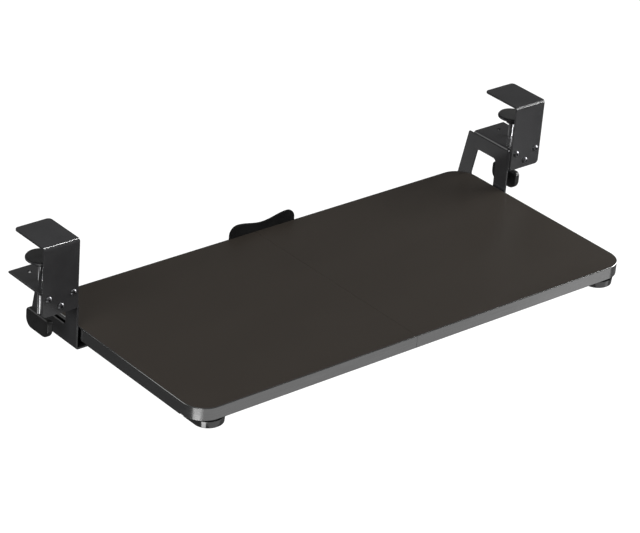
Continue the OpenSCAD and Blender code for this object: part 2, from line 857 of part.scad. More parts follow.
// A foot seen from above, drawn in by a margin, with its front at y = 0
module foot_outline(margin) {
    half = foot_width / 2 - margin;
    rounded_outline([
        [-half, margin], [half, margin], [half, foot_length - margin], [-half, foot_length - margin]
    ], [foot_nose - margin, foot_nose - margin, foot_heel, foot_heel]);
}

module foot(side) {
    translate([side * foot_x, foot_front, tray_bottom]) difference() {
        union() {
            translate([0, 0, -foot_height]) linear_extrude(foot_height - foot_neck) foot_outline(0);
            translate([0, 0, -foot_neck - eps]) linear_extrude(foot_neck + eps) foot_outline(foot_neck_inset);
        }
        translate([0, foot_width / 2, -foot_height - eps])
            cylinder(r = foot_screw / 2 + hole_clearance, h = foot_height + 2 * eps);
        translate([0, foot_width / 2, -foot_height - eps])
            cylinder(r = foot_head / 2 + hole_clearance, h = foot_head_depth + eps);
    }
}

module foot_screw_set() {
    grip = foot_height - foot_head_depth;
    at_feet() translate([0, 0, -grip]) mirror([0, 0, 1])
        socket_screw(foot_screw, grip + wood_screw_reach, foot_head, foot_head_height);
}

// Named pieces

module left_clamp_hook() { color(powder_black) to_left() clamp_hook(); }
module right_clamp_hook() { color(powder_black) clamp_hook(); }
module left_top_pad() { color(soft_black) to_left() top_pad(); }
module right_top_pad() { color(soft_black) top_pad(); }
module left_bracket() { color(powder_black) to_left() bracket(); }
module right_bracket() { color(powder_black) bracket(); }
module left_hook_screws() { color(zinc) to_left() hook_screws(); }
module right_hook_screws() { color(zinc) hook_screws(); }
module left_hook_nuts() { color(zinc) to_left() hook_nuts(); }
module right_hook_nuts() { color(zinc) hook_nuts(); }
module left_weld_nut() { color(zinc) to_left() weld_nut(); }
module right_weld_nut() { color(zinc) weld_nut(); }
module left_pressure_plate() { color(powder_black) to_left() pressure_plate(); }
module right_pressure_plate() { color(powder_black) pressure_plate(); }
module left_pressure_pad() { color(soft_black) to_left() pressure_pad(); }
module right_pressure_pad() { color(soft_black) pressure_pad(); }
module left_retaining_ring() { color(zinc) to_left() retaining_ring(); }
module right_retaining_ring() { color(zinc) retaining_ring(); }
module left_clamp_screw() { color(zinc) to_left() clamp_screw_rod(); }
module right_clamp_screw() { color(zinc) clamp_screw_rod(); }
module left_wing_knob() { color(gloss_black) to_left() wing_knob(); }
module right_wing_knob() { color(gloss_black) wing_knob(); }
module left_roller_carrier() { color(rail_grey) to_left() roller_carrier(); }
module right_roller_carrier() { color(rail_grey) roller_carrier(); }
module left_carrier_screws() { color(zinc) to_left() carrier_screws(); }
module right_carrier_screws() { color(zinc) carrier_screws(); }
module left_roller_axles() { color(zinc) to_left() roller_axles(); }
module right_roller_axles() { color(zinc) roller_axles(); }
module left_front_roller() { color(nylon_white) to_left() roller(front_roller_y); }
module right_front_roller() { color(nylon_white) roller(front_roller_y); }
module left_rear_roller() { color(nylon_white) to_left() roller(rear_roller_y); }
module right_rear_roller() { color(nylon_white) roller(rear_roller_y); }
module left_panel() { color(board_brown) panel(-1); }
module right_panel() { color(board_brown) panel(1); }
module left_edge_band() { color(band_grey) edge_band(-1); }
module right_edge_band() { color(band_grey) edge_band(1); }
module left_rail() { color(rail_grey) to_left() rail(); }
module right_rail() { color(rail_grey) rail(); }
module left_rail_screws() { color(zinc) to_left() rail_screws(); }
module right_rail_screws() { color(zinc) rail_screws(); }
module left_rail_stops() { color(nylon_white) to_left() rail_stops(); }
module right_rail_stops() { color(nylon_white) rail_stops(); }
module front_splice_plate() { color(powder_black) splice_plate(splice_places[0]); }
module rear_splice_plate() { color(powder_black) splice_plate(splice_places[1]); }
module splice_screws() { color(zinc) splice_screw_set(); }
module seam_dowels() { color(dowel_tan) dowel_set(); }
module back_stop() { color(powder_black) stop_plate(); }
module back_stop_screws() { color(zinc) stop_screw_set(); }
module left_foot() { color(gloss_black) foot(-1); }
module right_foot() { color(gloss_black) foot(1); }
module foot_screws() { color(zinc) foot_screw_set(); }

left_clamp_hook();
right_clamp_hook();
left_top_pad();
right_top_pad();
left_bracket();
right_bracket();
left_hook_screws();
right_hook_screws();
left_hook_nuts();
right_hook_nuts();
left_weld_nut();
right_weld_nut();
left_pressure_plate();
right_pressure_plate();
left_pressure_pad();
right_pressure_pad();
left_retaining_ring();
right_retaining_ring();
left_clamp_screw();
right_clamp_screw();
left_wing_knob();
right_wing_knob();
left_roller_carrier();
right_roller_carrier();
left_carrier_screws();
right_carrier_screws();
left_roller_axles();
right_roller_axles();
left_front_roller();
right_front_roller();
left_rear_roller();
right_rear_roller();
left_panel();
right_panel();
left_edge_band();
right_edge_band();
left_rail();
right_rail();
left_rail_screws();
right_rail_screws();
left_rail_stops();
right_rail_stops();
front_splice_plate();
rear_splice_plate();
splice_screws();
seam_dowels();
back_stop();
back_stop_screws();
left_foot();
right_foot();
foot_screws();
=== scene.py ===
# %% [markdown]
# # A sliding tray with two clamps
# The imported model comes first and stays fixed: it holds every piece at its real size and says which
# body each piece moves with. Blender counts in metres, so sizes here are written in millimetres and
# multiplied by MM.

# %% Load the fixed frame
import json
import math

import bmesh
import bpy
from mathutils import Matrix, Vector

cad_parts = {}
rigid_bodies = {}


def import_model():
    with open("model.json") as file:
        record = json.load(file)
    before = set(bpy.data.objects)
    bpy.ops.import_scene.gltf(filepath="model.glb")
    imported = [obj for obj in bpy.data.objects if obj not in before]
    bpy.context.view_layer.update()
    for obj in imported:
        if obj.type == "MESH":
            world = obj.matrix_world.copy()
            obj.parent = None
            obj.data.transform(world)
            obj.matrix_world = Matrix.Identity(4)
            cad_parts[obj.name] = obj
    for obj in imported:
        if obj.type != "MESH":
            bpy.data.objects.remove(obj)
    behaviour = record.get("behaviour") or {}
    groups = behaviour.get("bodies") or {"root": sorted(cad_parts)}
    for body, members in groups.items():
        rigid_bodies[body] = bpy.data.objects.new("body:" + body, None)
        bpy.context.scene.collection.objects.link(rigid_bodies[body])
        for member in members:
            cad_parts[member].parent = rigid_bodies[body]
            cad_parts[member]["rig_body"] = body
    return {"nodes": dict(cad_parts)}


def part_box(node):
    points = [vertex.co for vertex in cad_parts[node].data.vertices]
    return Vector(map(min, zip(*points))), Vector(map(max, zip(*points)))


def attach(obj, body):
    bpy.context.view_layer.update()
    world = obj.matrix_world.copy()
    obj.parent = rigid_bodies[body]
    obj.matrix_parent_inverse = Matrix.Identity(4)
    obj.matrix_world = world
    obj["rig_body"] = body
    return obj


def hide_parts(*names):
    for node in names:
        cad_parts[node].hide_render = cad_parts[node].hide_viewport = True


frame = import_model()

MM = 0.001
SIDES = ("left", "right")
scene = bpy.context.scene
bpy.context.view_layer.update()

# %% [markdown]
# ## Camera
# A long lens far away gives the mild perspective of a product picture. The camera stands to the left
# of the tray, in front of it and above it. It could be aimed with a Track To constraint, but that keeps
# the horizon level. Here the picture leans a little, so the turn is written as a matrix: yaw, pitch and
# roll give the camera's right, up and back axes.

# %% Place the camera
camera_place = Vector((-1898.9, -2169.1, 1416.2)) * MM
camera_yaw = math.radians(41.601)
camera_pitch = math.radians(28.133)
camera_roll = math.radians(-4.653)
camera_lens = 153.97
camera_sensor = 36

ahead = Vector((
    math.sin(camera_yaw) * math.cos(camera_pitch),
    math.cos(camera_yaw) * math.cos(camera_pitch),
    -math.sin(camera_pitch),
))
level = Vector((math.cos(camera_yaw), -math.sin(camera_yaw), 0))
below = ahead.cross(level)
right = math.cos(camera_roll) * level + math.sin(camera_roll) * below
up = math.sin(camera_roll) * level - math.cos(camera_roll) * below
turn = Matrix((right, up, -ahead)).transposed().to_4x4()

camera_data = bpy.data.cameras.new("camera")
camera_data.lens = camera_lens
camera_data.sensor_width = camera_sensor
camera = bpy.data.objects.new("camera", camera_data)
camera.matrix_world = Matrix.Translation(camera_place) @ turn
scene.collection.objects.link(camera)
scene.camera = camera
print("camera", round(camera_place.length, 2), "m from the point between the hooks")

# %% [markdown]
# ## White surroundings
# The tray hangs about table high, so the floor lies well below it. It is a diffuse surface that keeps
# shadows, with a glow added for rays that come straight from the camera, so it shows white. Seen from
# below it lets the view through. The world is white for the same rays, and a soft grey for all others,
# so black paint and chrome mirror a dim grey with bright lamps in it. Raising the lamps until the floor
# is white would bleach the object.

# %% Camera-ray switch and world
def camera_rays(tree):
    """1 for rays that come straight from the camera, 0 for all others."""
    return tree.nodes.new("ShaderNodeLightPath").outputs["Is Camera Ray"]


def between(tree, value, low, high, start=0.0, end=1.0):
    """Stretches a value from the range start..end to the range low..high."""
    node = tree.nodes.new("ShaderNodeMapRange")
    node.inputs["From Min"].default_value = start
    node.inputs["From Max"].default_value = end
    node.inputs["To Min"].default_value = low
    node.inputs["To Max"].default_value = high
    tree.links.new(value, node.inputs["Value"])
    return node.outputs["Result"]


ambient_light = 0.15
world = bpy.data.worlds.new("white_surroundings")
world.use_nodes = True
scene.world = world
sky = world.node_tree.nodes["Background"]
sky.inputs["Color"].default_value = (1, 1, 1, 1)
sky_strength = between(world.node_tree, camera_rays(world.node_tree), ambient_light, 1.0)
world.node_tree.links.new(sky_strength, sky.inputs["Strength"])
scene.view_settings.view_transform = "Standard"
print("world light", ambient_light)

# %% Floor
floor_drop = 730 * MM
floor_half = 20.0
floor_colour = (0.1, 0.1, 0.1, 1)
floor_glow = 1.0

bm = bmesh.new()
bmesh.ops.create_grid(bm, x_segments=1, y_segments=1, size=floor_half)
bmesh.ops.translate(bm, vec=(0, 0, -floor_drop), verts=bm.verts)
floor_mesh = bpy.data.meshes.new("floor")
bm.to_mesh(floor_mesh)
bm.free()
floor = bpy.data.objects.new("floor", floor_mesh)
scene.collection.objects.link(floor)

floor_finish = bpy.data.materials.new("pale_floor")
floor_finish.use_nodes = True
tree = floor_finish.node_tree
tree.nodes.clear()
matt = tree.nodes.new("ShaderNodeBsdfDiffuse")
matt.inputs["Color"].default_value = floor_colour
glow = tree.nodes.new("ShaderNodeEmission")
tree.links.new(between(tree, camera_rays(tree), 0.0, floor_glow), glow.inputs["Strength"])
both = tree.nodes.new("ShaderNodeAddShader")
tree.links.new(matt.outputs[0], both.inputs[0])
tree.links.new(glow.outputs[0], both.inputs[1])
clear = tree.nodes.new("ShaderNodeBsdfTransparent")
facing = tree.nodes.new("ShaderNodeNewGeometry")
choose = tree.nodes.new("ShaderNodeMixShader")
tree.links.new(facing.outputs["Backfacing"], choose.inputs[0])
tree.links.new(both.outputs[0], choose.inputs[1])
tree.links.new(clear.outputs[0], choose.inputs[2])
output = tree.nodes.new("ShaderNodeOutputMaterial")
tree.links.new(choose.outputs[0], output.inputs["Surface"])
floor_mesh.materials.append(floor_finish)
print("floor", floor_drop, "m below the hooks")

# %% [markdown]
# ## Studio light
# Large soft lamps in front, at the left, behind and at the right light the tray, and a small one stands
# above its left corner, for the rim. Area lamps are the plain choice: their size sets how soft the
# shadows are. A few spot lamps would draw hard shadows on the white floor. The front and left ones are
# hidden from glossy rays: they light the colours, and no face turns white where it mirrors them.

# %% Softboxes
tray_centre = Vector((0, -70, -120)) * MM


def softbox(name, place, width, height, power, aim=tray_centre, spread=180, mirrored=True):
    """An area lamp of a given size in metres, aimed at a point, with its light kept in a cone."""
    data = bpy.data.lights.new(name, "AREA")
    data.shape = "RECTANGLE"
    data.size = width
    data.size_y = height
    data.energy = power
    data.spread = math.radians(spread)
    lamp = bpy.data.objects.new(name, data)
    lamp.location = place
    lamp.rotation_euler = (aim - lamp.location).to_track_quat("-Z", "Y").to_euler()
    lamp.visible_camera = False
    lamp.visible_glossy = mirrored
    scene.collection.objects.link(lamp)


softbox("front_softbox", Vector((0.2, -2.2, 0.9)), 1.4, 1.4, 46, mirrored=False)
softbox("left_softbox", Vector((-2.2, -0.7, 0.9)), 1.6, 1.6, 48, mirrored=False)
softbox("rear_left_softbox", Vector((-1.3, 1.6, 1.4)), 1.6, 1.6, 12)
softbox("right_softbox", Vector((1.7, -0.4, 0.45)), 1.1, 1.1, 44)
softbox("corner_softbox", Vector((-0.9, -0.6, 1.18)), 0.6, 0.6, 2.5)
print("softboxes aim at", list(tray_centre))

# %% [markdown]
# ### Panels to mirror
# Dark glossy faces show little of that light: they show what they mirror. Each flat face mirrors one
# direction into the camera, so weak panels stand just there. One lies low in front, for the front edge
# and the hooks, and a short one brightens its right end. One lies behind, for the faces on the left. Two
# at the left draw the upright highlights on the round corner and on the foot. Last, two small lamps with
# a narrow cone each draw a bright line on the bend of one hook. Stronger softboxes could draw these too,
# but they would bleach every other face.

# %% Panels and hook lamps
def bend_place(hook):
    """The middle of a hook's bend, where its top plate meets its front plate."""
    low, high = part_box(hook)
    return Vector(((low.x + high.x) / 2, low.y, high.z))


left_bend = bend_place("left_clamp_hook")
right_bend = bend_place("right_clamp_hook")
softbox("front_panel", Vector((0.1, -0.85, -0.55)), 1.9, 0.4, 0.95)
softbox("end_panel", Vector((0.92, -0.8, -0.55)), 0.2, 0.4, 0.08)
softbox("rear_panel", Vector((-0.2, 0.75, -0.58)), 0.5, 0.3, 0.19)
softbox("corner_panel", Vector((-0.98, -0.62, -0.55)), 0.63, 0.34, 0.6)
softbox("foot_panel", Vector((-0.775, -0.446, -0.569)), 0.3, 0.14, 0.45)
softbox("left_hook_lamp", Vector((0.217, 0.0, 1.0)), 0.12, 0.2, 0.03, aim=left_bend, spread=10)
softbox("right_hook_lamp", Vector((1.063, -0.8, 0.1)), 0.1, 0.3, 0.026, aim=right_bend, spread=16)

# %% [markdown]
# ## Finishes
# Every finish is a Principled shader whose colour, gloss and relief come from noise on Object
# coordinates, so the grain has a real size in metres and doesn't slide when a piece moves. The helpers
# below make one grain, spread it over two tones, and press it into the surface as bump.

# %% Helpers for finishes
def new_finish(name):
    """A material with its node tree and its shader."""
    material = bpy.data.materials.new(name)
    material.use_nodes = True
    return material, material.node_tree, material.node_tree.nodes["Principled BSDF"]


noise_low = 0.3
noise_high = 0.7


def grain(tree, size, stretch=(1, 1, 1), detail=3.0):
    """Noise on Object coordinates, with spots about size metres across, longer where stretched."""
    place = tree.nodes.new("ShaderNodeTexCoord")
    scale = tree.nodes.new("ShaderNodeMapping")
    scale.inputs["Scale"].default_value = [1 / (size * s) for s in stretch]
    noise = tree.nodes.new("ShaderNodeTexNoise")
    noise.inputs["Scale"].default_value = 1.0
    noise.inputs["Detail"].default_value = detail
    tree.links.new(place.outputs["Object"], scale.inputs["Vector"])
    tree.links.new(scale.outputs["Vector"], noise.inputs["Vector"])
    return between(tree, noise.outputs["Fac"], 0.0, 1.0, noise_low, noise_high)


def tones(tree, value, dark, light, socket):
    """Spreads a grain over two colours and gives them to a shader socket."""
    ramp = tree.nodes.new("ShaderNodeValToRGB")
    ramp.color_ramp.elements[0].color = (*dark, 1)
    ramp.color_ramp.elements[1].color = (*light, 1)
    tree.links.new(value, ramp.inputs["Fac"])
    tree.links.new(ramp.outputs["Color"], socket)


def relief(tree, shader, value, depth, strength):
    """Presses a grain of that depth in metres into the surface."""
    bump = tree.nodes.new("ShaderNodeBump")
    bump.inputs["Distance"].default_value = depth
    bump.inputs["Strength"].default_value = strength
    tree.links.new(value, bump.inputs["Height"])
    tree.links.new(bump.outputs["Normal"], shader.inputs["Normal"])


def grey(value):
    """A colour with three equal parts."""
    return (value, value, value)


print("helpers for finishes ready")

# %% [markdown]
# ### Painted and printed surfaces
# The boards carry a dark brown melamine film, half glossy, with fine pores. The band round their edge is
# a strip with a grey metal foil, with streaks along its length as a roller leaves them. The steel sheets
# are powder coated in black: a smooth semi-gloss coat with the slight orange peel of melted powder. The
# back stop's coat is matt, and its darker colour is painted shade: it stands for the desk's shadow on it.
# A plain black would do for both, but its faces would look flat.

# %% Board film, edge band and powder coat
def board_film():
    """A dark film with fine pores and faint clouds."""
    material, tree, shader = new_finish("board_film")
    pores = grain(tree, 0.35 * MM)
    clouds = grain(tree, 45 * MM, stretch=(2.5, 1, 1))
    tones(tree, clouds, (0.0245, 0.0205, 0.0168), (0.0265, 0.0222, 0.0182), shader.inputs["Base Color"])
    tree.links.new(between(tree, clouds, 0.37, 0.40), shader.inputs["Roughness"])
    shader.inputs["Specular IOR Level"].default_value = 0.25
    relief(tree, shader, pores, 0.03 * MM, 0.25)
    return material


def band_strip():
    """A grey metal foil with streaks along the strip."""
    material, tree, shader = new_finish("band_strip")
    streaks = grain(tree, 0.5 * MM, stretch=(90, 90, 1))
    tones(tree, streaks, grey(0.25), grey(0.31), shader.inputs["Base Color"])
    tree.links.new(between(tree, streaks, 0.18, 0.24), shader.inputs["Roughness"])
    shader.inputs["Metallic"].default_value = 1.0
    relief(tree, shader, streaks, 0.02 * MM, 0.2)
    return material


def powder_coat(name, dark, light, gloss, shine):
    """A black coat with the slight orange peel of melted powder."""
    material, tree, shader = new_finish(name)
    peel = grain(tree, 1.1 * MM, detail=2.0)
    clouds = grain(tree, 18 * MM)
    tones(tree, clouds, dark, light, shader.inputs["Base Color"])
    tree.links.new(between(tree, clouds, gloss[0], gloss[1]), shader.inputs["Roughness"])
    shader.inputs["Specular IOR Level"].default_value = shine
    relief(tree, shader, peel, 0.04 * MM, 0.2)
    return material


finishes = {
    "board_laminate": board_film(),
    "edge_band": band_strip(),
    "powder_black": powder_coat(
        "powder_coat", (0.017, 0.017, 0.018), (0.020, 0.020, 0.021), (0.20, 0.26), shine=0.8),
    # The back stop's coat: matt, and darker as painted shade, standing for the shadow of the desk above it.
    "painted_shade_black": powder_coat(
        "matt_coat_painted_shade", (0.003, 0.003, 0.003), (0.005, 0.005, 0.005), (0.50, 0.58), shine=0.1),
}
print("finishes:", sorted(finishes))

# %% [markdown]
# ### Metals
# The clamp screws are bright chrome. Screws, nuts and axles are zinc plated, a little cloudy. The rails
# are cold rolled steel with drawing lines along their length. Metals need a metallic value of one, and
# most of their look is what they mirror, so small changes of gloss matter more than colour.

# %% Chrome, zinc and rail steel
def plated(name, dark, light, gloss, spots):
    """A plated metal with faint clouds in its brightness and its gloss."""
    material, tree, shader = new_finish(name)
    clouds = grain(tree, spots)
    tones(tree, clouds, dark, light, shader.inputs["Base Color"])
    tree.links.new(between(tree, clouds, gloss[0], gloss[1]), shader.inputs["Roughness"])
    shader.inputs["Metallic"].default_value = 1.0
    relief(tree, shader, grain(tree, 0.6 * MM), 0.01 * MM, 0.15)
    return material


def drawn_steel():
    """Bare steel with drawing lines along the rail."""
    material, tree, shader = new_finish("drawn_steel")
    lines = grain(tree, 0.4 * MM, stretch=(1, 120, 1))
    tones(tree, lines, grey(0.16), grey(0.24), shader.inputs["Base Color"])
    tree.links.new(between(tree, lines, 0.32, 0.44), shader.inputs["Roughness"])
    shader.inputs["Metallic"].default_value = 1.0
    relief(tree, shader, lines, 0.02 * MM, 0.2)
    return material


finishes["chrome_rod"] = plated(
    "bright_chrome", grey(0.72), (0.80, 0.80, 0.82), (0.08, 0.16), 6 * MM)
finishes["zinc_plate"] = plated(
    "zinc_plating", (0.16, 0.16, 0.17), (0.24, 0.24, 0.25), (0.25, 0.36), 3 * MM)
finishes["rail_steel"] = drawn_steel()
print("finishes:", sorted(finishes))

# %% [markdown]
# ### Plastics, rubber and wood
# The wing knobs and feet are moulded in black plastic, the feet glossier. Rollers and rail stops are
# milky nylon. The pads are dull black rubber with a fine cell texture. The dowels are beech, whose pores
# run along the pin. Each moulded finish could have a function of its own, but they differ only in tones,
# gloss and texture, so one function makes them all.

# %% Moulded plastics, rubber and beech
def moulded(name, dark, light, gloss, texture, depth, bend=1.5):
    """A moulded plastic or rubber with the fine texture of its mould; more bend mirrors more."""
    material, tree, shader = new_finish(name)
    clouds = grain(tree, 9 * MM)
    tones(tree, clouds, dark, light, shader.inputs["Base Color"])
    tree.links.new(between(tree, clouds, gloss[0], gloss[1]), shader.inputs["Roughness"])
    shader.inputs["IOR"].default_value = bend
    relief(tree, shader, grain(tree, texture), depth, 0.3)
    return material


def beech():
    """Beech with its pores along the pin."""
    material, tree, shader = new_finish("beech")
    pores = grain(tree, 0.5 * MM, stretch=(25, 1, 1))
    tones(tree, pores, (0.42, 0.27, 0.13), (0.60, 0.42, 0.23), shader.inputs["Base Color"])
    tree.links.new(between(tree, pores, 0.5, 0.7), shader.inputs["Roughness"])
    relief(tree, shader, pores, 0.05 * MM, 0.4)
    return material


finishes["knob_plastic"] = moulded(
    "knob_plastic", grey(0.006), grey(0.010), (0.26, 0.36), 0.5 * MM, 0.02 * MM)
finishes["foot_plastic"] = moulded(
    "foot_plastic", grey(0.006), grey(0.009), (0.10, 0.15), 0.9 * MM, 0.01 * MM, bend=2.0)
finishes["nylon"] = moulded(
    "milky_nylon", (0.66, 0.66, 0.61), (0.76, 0.76, 0.71), (0.38, 0.5), 0.4 * MM, 0.02 * MM)
finishes["soft_pad"] = moulded(
    "pad_rubber", grey(0.010), grey(0.016), (0.7, 0.85), 0.5 * MM, 0.12 * MM)
finishes["dowel_wood"] = beech()
print("finishes:", sorted(finishes))

# %% [markdown]
# ## Helpers for pieces
# A piece starts as a bmesh, gets its shape from operators, and is then turned into an object at the
# origin with its place in its mesh. Easing the sharp edges is what makes hard pieces look real: every
# edge that turns by more than a set angle gets a small round bevel, and shading is smooth up to it. A
# Weighted Normal modifier lets the large flat faces lead, or each bevel would shade far into its faces.

# %% Outline, thickness and edge helpers
SHARP = math.radians(33)
MERGE = 0.002 * MM
NEAR = 0.01 * MM


def near(a, b):
    """True where two places are the same but for rounding."""
    return abs(a - b) < NEAR


def verts_of(made):
    """The vertices among the things that an operator made."""
    return [item for item in made["geom"] if isinstance(item, bmesh.types.BMVert)]


def flat_face(points):
    """A bmesh with one face through a few points, and its corners."""
    bm = bmesh.new()
    corners = [bm.verts.new(point) for point in points]
    bm.faces.new(corners)
    return bm, corners


def round_corners(bm, corners, radius, steps):
    """Rounds the corners of a flat face."""
    bmesh.ops.bevel(
        bm, geom=corners, offset=radius, offset_type="OFFSET", segments=steps, profile=0.5,
        affect="VERTICES", material=-1)
    bmesh.ops.remove_doubles(bm, verts=bm.verts, dist=MERGE)


def thicken(bm, step):
    """Pulls all faces along a step and closes the sides, with the faces turned outwards."""
    made = bmesh.ops.extrude_face_region(bm, geom=bm.faces[:])
    bmesh.ops.translate(bm, vec=step, verts=verts_of(made))
    bmesh.ops.recalc_face_normals(bm, faces=bm.faces[:])


def ease(bm, edges, width, steps=3, clamp=True):
    """Rounds edges with a small bevel."""
    bmesh.ops.bevel(
        bm, geom=edges, offset=width, offset_type="OFFSET", segments=steps, profile=0.5,
        affect="EDGES", material=-1, clamp_overlap=clamp)


def sharp_edges(bm):
    """Edges between two faces that turn by more than the set angle."""
    return [e for e in bm.edges if len(e.link_faces) == 2 and e.calc_face_angle() > SHARP]


print("edges over", round(math.degrees(SHARP)), "degrees are eased")

# %% Turning a bmesh into a piece
def add_piece(name, bm, slot, *nodes, finish=None):
    """Makes the object, gives it its finish and body, and hides the fixed pieces it stands for."""
    mesh = bpy.data.meshes.new(name)
    bm.to_mesh(mesh)
    bm.free()
    mesh.shade_smooth()
    mesh.set_sharp_from_angle(angle=SHARP)
    mesh.materials.append(finishes[finish or slot])
    piece = bpy.data.objects.new(name, mesh)
    scene.collection.objects.link(piece)
    weighted = piece.modifiers.new("flat_faces_lead", "WEIGHTED_NORMAL")
    weighted.keep_sharp = True
    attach(piece, frame["nodes"][nodes[0]]["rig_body"])
    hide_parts(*nodes)
    print(name, len(mesh.polygons), "faces")
    return piece


def middle(node):
    """Lowest corner, highest corner and middle of a fixed piece."""
    low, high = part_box(node)
    return low, high, (low + high) / 2


print("fixed pieces to dress:", len(frame["nodes"]))

# %% [markdown]
# ## Tray boards
# Two boards meet at a seam that lies a little left of the middle. Each is a flat face with two round
# corners, pulled up to its thickness. A cube with bevelled edges would do too, but starting flat keeps
# the round corners upright. Both boards end at one seam line, so no light shows through, and the seam
# edges are eased, so that a fine groove shows between the boards.

# %% Boards
tray_corner = 28 * MM
corner_steps = 14
band_thickness = 1.2 * MM
seam_ease = 0.35 * MM


def tray_half(node, outward, radius, seam=None):
    """The solid of one half of the tray, with its two outer corners rounded, and its seam's place."""
    low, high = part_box(node)
    inner, rim = (high.x, low.x) if outward < 0 else (low.x, high.x)
    seam = inner if seam is None else seam
    bm, corners = flat_face([
        (seam, low.y, low.z), (rim, low.y, low.z), (rim, high.y, low.z), (seam, high.y, low.z)])
    round_corners(bm, corners[1:3], radius, steps=corner_steps)
    thicken(bm, (0, 0, high.z - low.z))
    return bm, seam


def at_seam(verts, seam):
    """True if all these vertices lie on the seam."""
    return all(near(vert.co.x, seam) for vert in verts)


seam_line = (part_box("left_panel")[1].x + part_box("right_panel")[0].x) / 2
for side, outward in zip(SIDES, (-1, 1)):
    board, seam = tray_half(f"{side}_panel", outward, tray_corner - band_thickness, seam_line)
    seam_edges = [edge for edge in sharp_edges(board) if at_seam(edge.verts, seam)]
    ease(board, seam_edges, seam_ease, steps=2)
    add_piece(f"{side}_board", board, "board_laminate", f"{side}_panel")

# %% [markdown]
# ## Edge bands
# A thin strip is glued round each board. It is made from the same outline: the upright wall is kept, the
# other faces are deleted, and the wall gets its thickness inwards. Its outer rims are rounded, and that
# rounding draws a fine bright line where it mirrors a lamp. A grey paint on the boards' edges would do
# from afar, but it would have no rim.

# %% Edge bands
band_round = 0.8 * MM


def is_wall(face, seam):
    """True for the upright faces that go round the board."""
    upright = abs(face.normal.z) < 0.5
    return upright and not at_seam(face.verts, seam)


for side, outward in zip(SIDES, (-1, 1)):
    band, seam = tray_half(f"{side}_edge_band", outward, tray_corner)
    rest = [face for face in band.faces if not is_wall(face, seam)]
    bmesh.ops.delete(band, geom=rest, context="FACES")
    outer = set(band.verts)
    bmesh.ops.solidify(band, geom=band.faces[:], thickness=band_thickness)
    bmesh.ops.recalc_face_normals(band, faces=band.faces[:])
    rims = [
        edge for edge in sharp_edges(band)
        if outer.issuperset(edge.verts) and near(edge.verts[0].co.z, edge.verts[1].co.z)]
    ease(band, rims, band_round, steps=3)
    add_piece(f"{side}_band", band, "edge_band", f"{side}_edge_band")

# %% [markdown]
# ## Clamp hooks
# Each hook is one bent strip of sheet that carries the tray. Two faces that share an edge are the outer
# skin. A bevel rounds the shared edge into the bend, corner bevels round the free corners, and Solidify
# gives the sheet its thickness inwards. The last small bevel breaks the cut edges. Two joined boxes would
# have a sharp inner corner, where bent sheet is round.

# %% Hooks
hook_sheet = 2.5 * MM
hook_bend = 3.5 * MM
hook_corner = 5 * MM
sheet_ease = 0.35 * MM

for side in SIDES:
    low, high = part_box(f"{side}_clamp_hook")
    hook, corners = flat_face([
        (low.x, high.y, high.z), (low.x, low.y, high.z), (high.x, low.y, high.z), (high.x, high.y, high.z)])
    lower = [hook.verts.new((x, low.y, low.z)) for x in (low.x, high.x)]
    hook.faces.new((corners[1], lower[0], lower[1], corners[2]))
    fold = [e for e in hook.edges if len(e.link_faces) == 2]
    ease(hook, fold, hook_bend, steps=7)
    tips = [v for v in hook.verts if len(v.link_edges) == 2]
    round_corners(hook, tips, hook_corner, steps=6)
    bmesh.ops.recalc_face_normals(hook, faces=hook.faces[:])
    bmesh.ops.solidify(hook, geom=hook.faces[:], thickness=hook_sheet)
    bmesh.ops.recalc_face_normals(hook, faces=hook.faces[:])
    ease(hook, sharp_edges(hook), sheet_ease, steps=2)
    add_piece(f"{side}_hook", hook, "powder_black", f"{side}_clamp_hook")

# %% [markdown]
# ## Sheet and machined pieces that keep their fixed shape
# Brackets, rails, carriers, nuts and feet already have their true shape, with every bend, slot and
# bore. They only lack broken edges. A copy of the mesh is merged, its flat triangles are joined into
# whole faces, and the sharp edges are eased. The feet also get a draft, a little narrower below, as a
# mould needs it. Modelling all these again would repeat what is known.

# %% Eased copies
flat_angle = math.radians(0.5)


def merged_copy(node):
    """A bmesh of a fixed piece, with its loose triangles joined at their corners."""
    bm = bmesh.new()
    bm.from_mesh(frame["nodes"][node].data)
    bmesh.ops.remove_doubles(bm, verts=bm.verts, dist=MERGE)
    return bm


def taper(bm, node, draft):
    """Makes a copy of a fixed piece narrower towards its bottom."""
    low, high, centre = middle(node)
    for vert in bm.verts:
        shrink = (high.z - vert.co.z) * math.tan(draft) / (centre.x - low.x)
        vert.co.x += (centre.x - vert.co.x) * shrink
        vert.co.y += (centre.y - vert.co.y) * shrink


def eased_copy(node, slot, width, draft=0.0):
    """A copy of a fixed piece with its sharp edges rounded, narrower below if it has a draft."""
    bm = merged_copy(node)
    bmesh.ops.dissolve_limit(bm, angle_limit=flat_angle, verts=bm.verts, edges=bm.edges)
    if draft:
        taper(bm, node, draft)
    ease(bm, sharp_edges(bm), width, steps=2, clamp=False)
    bmesh.ops.triangulate(bm, faces=[face for face in bm.faces if len(face.verts) > 4])
    add_piece(f"{node}_eased", bm, slot, node)


print("faces within", round(math.degrees(flat_angle), 1), "degrees are joined")

# %% Brackets, rails, rollers, nuts and feet
foot_draft = math.radians(3)
